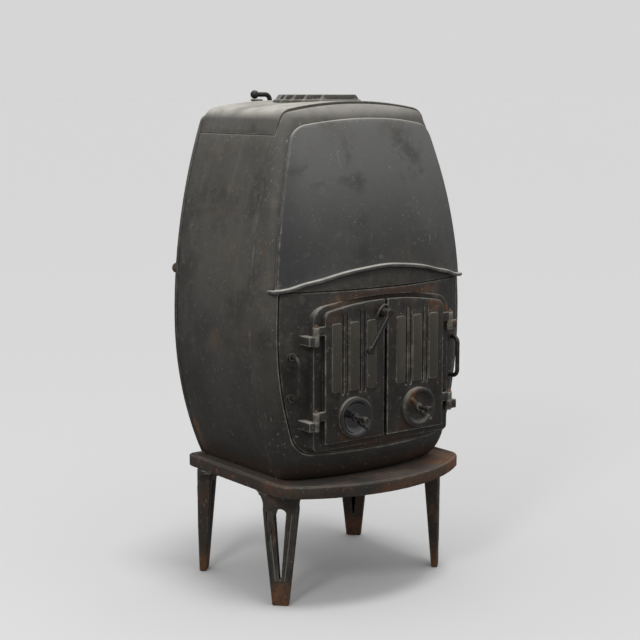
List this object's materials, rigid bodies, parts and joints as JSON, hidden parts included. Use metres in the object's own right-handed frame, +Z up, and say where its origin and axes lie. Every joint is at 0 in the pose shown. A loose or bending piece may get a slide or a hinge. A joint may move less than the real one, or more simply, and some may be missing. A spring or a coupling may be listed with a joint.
{
  "type": "cast-iron room stove",
  "caption": "Old free-standing cast-iron stove with barrel-shaped sides, a bowed front, ribbed fire doors, round air regulators and pierced legs.",
  "frame": {"origin": "on the floor, under the middle of the whole stove's outer box", "axes": "+Z up, -Y towards the front with the doors, +X to the right as seen from the front"},
  "size_m": [0.512, 0.49, 1.009],
  "materials": {
    "body_iron": "matt, dusty, faint brown streaks",
    "panel_iron": "matt, bluish grey, dusty towards the top",
    "top_iron": "matt, pale dust",
    "door_iron": "matt, brown-black with worn highlights",
    "rusty_iron": "rough, rusted",
    "black_gloss": "glossy black enamel",
    "worn_steel": "worn, darkened",
    "fasteners": "dull, rusty",
    "inner_iron": "matt, sooty"
  },
  "bodies": {
    "stove": {"ash_pan": "inner_iron", "back_panel": "body_iron", "base_plate": "rusty_iron", "cap_nuts": "fasteners", "flue_bolts": "fasteners", "flue_collar": "body_iron", "frame_bolts": "fasteners", "front_frame": "body_iron", "grate": "inner_iron", "hinge_pins": "fasteners", "hot_air_grille": "top_iron", "leg_bolts": "fasteners", "leg_front_left": "rusty_iron", "leg_front_right": "rusty_iron", "leg_rear_left": "rusty_iron", "leg_rear_right": "rusty_iron", "lift_handle_left": "worn_steel", "lift_handle_right": "worn_steel", "lower_front_plate": "body_iron", "rear_liner": "inner_iron", "side_liner_left": "inner_iron", "side_liner_right": "inner_iron", "side_panel_left": "body_iron", "side_panel_right": "body_iron", "smoke_shelf": "inner_iron", "tie_studs": "fasteners", "top_plate": "top_iron", "upper_panel": "panel_iron"},
    "door_left": {"door_left": "door_iron"},
    "door_right": {"door_right": "door_iron"},
    "latch": {"latch_lever": "worn_steel", "latch_tongue": "fasteners"},
    "air_left": {"air_disc_left": "black_gloss", "air_knob_left": "worn_steel"},
    "air_right": {"air_disc_right": "rusty_iron", "air_knob_right": "worn_steel"},
    "damper": {"damper_lever": "worn_steel", "damper_blade": "inner_iron"}
  },
  "joints": [
    {"name": "door_left_hinge", "type": "hinge", "parent": "stove", "child": "door_left", "pos_m": [-0.171, -0.194, 0.46], "axis": [0, 0, -1], "range_deg": [0, 110]},
    {"name": "door_right_hinge", "type": "hinge", "parent": "stove", "child": "door_right", "pos_m": [0.171, -0.194, 0.46], "axis": [0, 0, 1], "range_deg": [0, 110]},
    {"name": "latch_turn", "type": "hinge", "parent": "door_left", "child": "latch", "pos_m": [-0.012, -0.19, 0.579], "axis": [0, 1, 0], "range_deg": [-10, 42]},
    {"name": "air_left_turn", "type": "hinge", "parent": "door_left", "child": "air_left", "pos_m": [-0.0814, -0.19, 0.378], "axis": [0, -1, 0], "range_deg": [0, 360]},
    {"name": "air_right_turn", "type": "hinge", "parent": "door_right", "child": "air_right", "pos_m": [0.0814, -0.19, 0.378], "axis": [0, -1, 0], "range_deg": [0, 360]},
    {"name": "damper_turn", "type": "hinge", "parent": "stove", "child": "damper", "pos_m": [0, 0.195, 0.865], "axis": [0, 0, 1], "range_deg": [-90, 90]}
  ]
}
